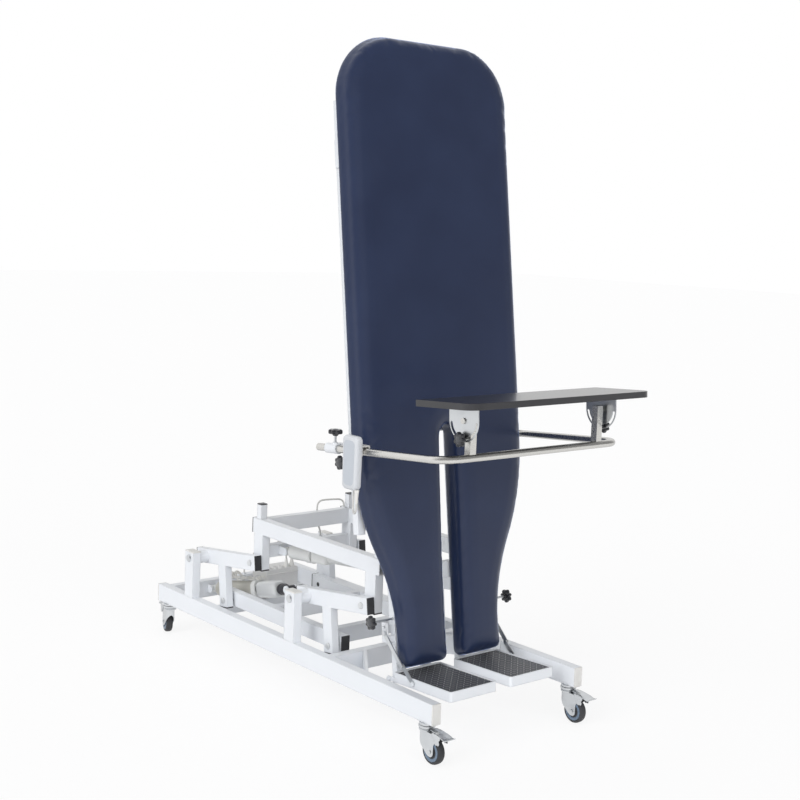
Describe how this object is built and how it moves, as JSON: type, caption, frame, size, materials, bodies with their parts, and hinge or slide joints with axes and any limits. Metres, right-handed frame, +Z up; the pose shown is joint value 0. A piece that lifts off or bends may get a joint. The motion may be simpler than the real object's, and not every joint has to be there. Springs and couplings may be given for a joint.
{
  "type": "physiotherapy tilt table",
  "caption": "Upright tilt table with padded split-leg top, lifting frame on castors, footplates, tray on a round rail and handset.",
  "frame": {"origin": "on the floor, on the middle plane, in line with the foot ends of the base rails", "axes": "+X to the table's right seen from the foot end, +Y towards the head end, +Z up"},
  "size_m": [0.772, 1.7289, 2.0439],
  "materials": {
    "white_steel": "white powder coat",
    "zinc": "bright zinc",
    "black_cap": "black moulded",
    "light_cap": "light grey moulded",
    "grey_plastic": "light grey moulded",
    "dark_rod": "dark steel",
    "tyre": "black tread with blue grey hub",
    "vinyl": "navy vinyl cover",
    "board": "plywood",
    "stainless": "polished stainless",
    "laminate": "black laminate",
    "mat": "black checker mat",
    "knob": "black moulded",
    "lead": "light grey sheath",
    "handset_shell": "pale grey moulded"
  },
  "bodies": {
    "base": {"base_rails": "white_steel", "base_posts": "white_steel", "base_caps": "light_cap", "base_cross_members": "white_steel", "base_hardware": "zinc", "control_box": "grey_plastic", "box_lead_left": "lead", "box_lead_right": "lead"},
    "rear_cranks": {"crank_rear": "white_steel", "crank_rear_fittings": "black_cap"},
    "front_cranks": {"crank_front": "white_steel", "crank_front_fittings": "black_cap"},
    "link_frame": {"link_bars": "white_steel", "link_cross_tubes": "white_steel", "link_caps": "black_cap"},
    "lift_motor": {"lift_motor": "grey_plastic"},
    "lift_rod": {"lift_rod": "dark_rod"},
    "upper_frame": {"upper_side_frames": "white_steel", "upper_cross_tubes": "white_steel", "upper_caps": "black_cap", "tilt_pins": "zinc", "frame_lead": "lead"},
    "tilt_motor": {"tilt_motor": "grey_plastic"},
    "tilt_rod": {"tilt_rod": "dark_rod"},
    "table": {"cushion": "vinyl", "backing_board": "board", "table_guide_tubes": "white_steel", "table_cross_tubes": "white_steel", "accessory_tubes": "white_steel"},
    "tray_clamps": {"tray_clamps": "white_steel"},
    "tray_rail": {"tray_rail": "stainless", "handset_lead": "lead"},
    "tray_board": {"tray_board": "laminate", "tray_brackets": "white_steel"},
    "handset": {"handset": "handset_shell"},
    "footrest_knobs": {"footrest_knobs": "knob"},
    "clamp_side_knobs": {"clamp_side_knobs": "knob"},
    "clamp_top_knob_left": {"clamp_top_knob_left": "knob"},
    "clamp_top_knob_right": {"clamp_top_knob_right": "knob"},
    "tray_knobs": {"tray_knobs": "knob"},
    "footrest_slide_left": {"footrest_slide_left": "white_steel"},
    "footplate_left": {"footplate_left": "white_steel", "foot_mat_left": "mat"},
    "stay_left": {"stay_left": "zinc"},
    "footrest_slide_right": {"footrest_slide_right": "white_steel"},
    "footplate_right": {"footplate_right": "white_steel", "foot_mat_right": "mat"},
    "stay_right": {"stay_right": "zinc"},
    "castor_fork_foot_left": {"castor_fork_foot_left": "zinc"},
    "castor_wheel_foot_left": {"castor_wheel_foot_left": "tyre"},
    "castor_pedal_foot_left": {"castor_pedal_foot_left": "zinc"},
    "castor_fork_foot_right": {"castor_fork_foot_right": "zinc"},
    "castor_wheel_foot_right": {"castor_wheel_foot_right": "tyre"},
    "castor_pedal_foot_right": {"castor_pedal_foot_right": "zinc"},
    "castor_fork_head_left": {"castor_fork_head_left": "zinc"},
    "castor_wheel_head_left": {"castor_wheel_head_left": "tyre"},
    "castor_pedal_head_left": {"castor_pedal_head_left": "zinc"},
    "castor_fork_head_right": {"castor_fork_head_right": "zinc"},
    "castor_wheel_head_right": {"castor_wheel_head_right": "tyre"},
    "castor_pedal_head_right": {"castor_pedal_head_right": "zinc"}
  },
  "joints": [
    {"name": "castor_swivel_foot_left", "type": "hinge", "parent": "base", "child": "castor_fork_foot_left", "pos_m": [-0.285, 0.035, 0.1], "axis": [0, 0, 1], "continuous": true},
    {"name": "castor_roll_foot_left", "type": "hinge", "parent": "castor_fork_foot_left", "child": "castor_wheel_foot_left", "pos_m": [-0.285, 0.003, 0.0375], "axis": [1, 0, 0], "continuous": true},
    {"name": "castor_lock_foot_left", "type": "hinge", "parent": "castor_fork_foot_left", "child": "castor_pedal_foot_left", "pos_m": [-0.285, -0.01, 0.0925], "axis": [1, 0, 0], "range_deg": [0, 12]},
    {"name": "castor_swivel_foot_right", "type": "hinge", "parent": "base", "child": "castor_fork_foot_right", "pos_m": [0.285, 0.035, 0.1], "axis": [0, 0, 1], "continuous": true},
    {"name": "castor_roll_foot_right", "type": "hinge", "parent": "castor_fork_foot_right", "child": "castor_wheel_foot_right", "pos_m": [0.285, 0.003, 0.0375], "axis": [1, 0, 0], "continuous": true},
    {"name": "castor_lock_foot_right", "type": "hinge", "parent": "castor_fork_foot_right", "child": "castor_pedal_foot_right", "pos_m": [0.285, -0.01, 0.0925], "axis": [1, 0, 0], "range_deg": [0, 12]},
    {"name": "castor_swivel_head_left", "type": "hinge", "parent": "base", "child": "castor_fork_head_left", "pos_m": [-0.285, 1.445, 0.1], "axis": [0, 0, 1], "continuous": true},
    {"name": "castor_roll_head_left", "type": "hinge", "parent": "castor_fork_head_left", "child": "castor_wheel_head_left", "pos_m": [-0.27511, 1.47543, 0.0375], "axis": [-0.9511, 0.309, 0], "continuous": true},
    {"name": "castor_lock_head_left", "type": "hinge", "parent": "castor_fork_head_left", "child": "castor_pedal_head_left", "pos_m": [-0.27109, 1.4878, 0.0925], "axis": [-0.9511, 0.309, 0], "range_deg": [0, 12]},
    {"name": "castor_swivel_head_right", "type": "hinge", "parent": "base", "child": "castor_fork_head_right", "pos_m": [0.285, 1.445, 0.1], "axis": [0, 0, 1], "continuous": true},
    {"name": "castor_roll_head_right", "type": "hinge", "parent": "castor_fork_head_right", "child": "castor_wheel_head_right", "pos_m": [0.29595, 1.47507, 0.0375], "axis": [-0.9397, 0.342, 0], "continuous": true},
    {"name": "castor_lock_head_right", "type": "hinge", "parent": "castor_fork_head_right", "child": "castor_pedal_head_right", "pos_m": [0.30039, 1.48729, 0.0925], "axis": [-0.9397, 0.342, 0], "range_deg": [0, 12]},
    {"name": "lift", "type": "hinge", "parent": "base", "child": "rear_cranks", "pos_m": [0, 1.296, 0.309], "axis": [-1, 0, 0], "range_deg": [0, 50]},
    {"name": "front_lift", "type": "hinge", "parent": "base", "child": "front_cranks", "pos_m": [0, 0.691, 0.309], "axis": [-1, 0, 0], "range_deg": [0, 50]},
    {"name": "upper_frame_pivot", "type": "hinge", "parent": "rear_cranks", "child": "upper_frame", "pos_m": [0, 1.02106, 0.34276], "axis": [-1, 0, 0], "range_deg": [-50, 0]},
    {"name": "link_frame_pivot", "type": "hinge", "parent": "rear_cranks", "child": "link_frame", "pos_m": [0, 1.17697, 0.17652], "axis": [-1, 0, 0], "range_deg": [-50, 0]},
    {"name": "lift_motor_swing", "type": "hinge", "parent": "base", "child": "lift_motor", "pos_m": [-0.11, 1.43, 0.144], "axis": [-1, 0, 0], "range_deg": [0, 12.12]},
    {"name": "lift_rod_slide", "type": "slide", "parent": "lift_motor", "child": "lift_rod", "axis": [0, -0.976, 0.2178], "range_m": [0, 0.1009]},
    {"name": "tilt", "type": "hinge", "parent": "upper_frame", "child": "table", "pos_m": [0, 0.384, 0.512], "axis": [1, 0, 0], "range_deg": [-82.5, 2.5]},
    {"name": "tilt_motor_swing", "type": "hinge", "parent": "upper_frame", "child": "tilt_motor", "pos_m": [-0.107, 0.975, 0.377], "axis": [-1, 0, 0], "range_deg": [-1.29, 0.14]},
    {"name": "tilt_rod_slide", "type": "slide", "parent": "tilt_motor", "child": "tilt_rod", "axis": [0, -0.995, 0.0997], "range_m": [-0.00468, 0.14484]},
    {"name": "footrest_height_left", "type": "slide", "parent": "table", "child": "footrest_slide_left", "axis": [0, -0.1305, -0.9914], "range_m": [0, 0.1]},
    {"name": "footplate_angle_left", "type": "hinge", "parent": "footrest_slide_left", "child": "footplate_left", "pos_m": [-0.1175, 0.3, 0.1445], "axis": [-1, 0, 0], "range_deg": [0, 9.5]},
    {"name": "stay_pivot_left", "type": "hinge", "parent": "footplate_left", "child": "stay_left", "pos_m": [-0.209, 0.19, 0.16], "axis": [-1, 0, 0], "range_deg": [-9.5, 0]},
    {"name": "footrest_height_right", "type": "slide", "parent": "table", "child": "footrest_slide_right", "axis": [0, -0.1305, -0.9914], "range_m": [0, 0.1]},
    {"name": "footplate_angle_right", "type": "hinge", "parent": "footrest_slide_right", "child": "footplate_right", "pos_m": [0.1175, 0.3, 0.1445], "axis": [-1, 0, 0], "range_deg": [0, 9.5]},
    {"name": "stay_pivot_right", "type": "hinge", "parent": "footplate_right", "child": "stay_right", "pos_m": [0.209, 0.19, 0.16], "axis": [-1, 0, 0], "range_deg": [-9.5, 0]},
    {"name": "tray_height", "type": "slide", "parent": "table", "child": "tray_clamps", "axis": [0, 0.1305, 0.9914], "range_m": [-0.15, 0.6]},
    {"name": "tray_reach", "type": "slide", "parent": "tray_clamps", "child": "tray_rail", "axis": [0, -0.9969, 0.0785], "range_m": [-0.035, 0.04]},
    {"name": "tray_angle", "type": "hinge", "parent": "tray_rail", "child": "tray_board", "pos_m": [0, -0.051, 0.969], "axis": [1, 0, 0], "range_deg": [-66, 76]},
    {"name": "handset_lift_off", "type": "slide", "parent": "tray_rail", "child": "handset", "axis": [0, 0, 1], "range_m": [0, 0.05]},
    {"name": "footrest_knob_turn", "type": "hinge", "parent": "table", "child": "footrest_knobs", "pos_m": [0, 0.312, 0.322], "axis": [1, 0, 0], "continuous": true},
    {"name": "clamp_side_knob_turn", "type": "hinge", "parent": "tray_clamps", "child": "clamp_side_knobs", "pos_m": [0, 0.388, 0.792], "axis": [1, 0, 0], "continuous": true},
    {"name": "clamp_top_knob_turn_left", "type": "hinge", "parent": "tray_clamps", "child": "clamp_top_knob_left", "pos_m": [-0.35, 0.415, 0.88], "axis": [0, 0, 1], "continuous": true},
    {"name": "clamp_top_knob_turn_right", "type": "hinge", "parent": "tray_clamps", "child": "clamp_top_knob_right", "pos_m": [0.35, 0.415, 0.88], "axis": [0, 0, 1], "continuous": true},
    {"name": "tray_knob_turn", "type": "hinge", "parent": "tray_rail", "child": "tray_knobs", "pos_m": [0, -0.051, 0.919], "axis": [1, 0, 0], "continuous": true}
  ],
  "couplings": [
    {"joint": "front_lift", "follows": "lift", "ratio": 1},
    {"joint": "upper_frame_pivot", "follows": "lift", "ratio": -1},
    {"joint": "link_frame_pivot", "follows": "lift", "ratio": -1},
    {"joint": "lift_motor_swing", "follows": "lift", "ratio": 0.24047},
    {"joint": "lift_rod_slide", "follows": "lift", "m_per_rad": 0.11528},
    {"joint": "tilt_motor_swing", "follows": "tilt", "ratio": 0.014424},
    {"joint": "tilt_rod_slide", "follows": "tilt", "m_per_rad": -0.10038},
    {"joint": "stay_pivot_left", "follows": "footplate_angle_left", "ratio": -1},
    {"joint": "stay_pivot_right", "follows": "footplate_angle_right", "ratio": -1}
  ]
}
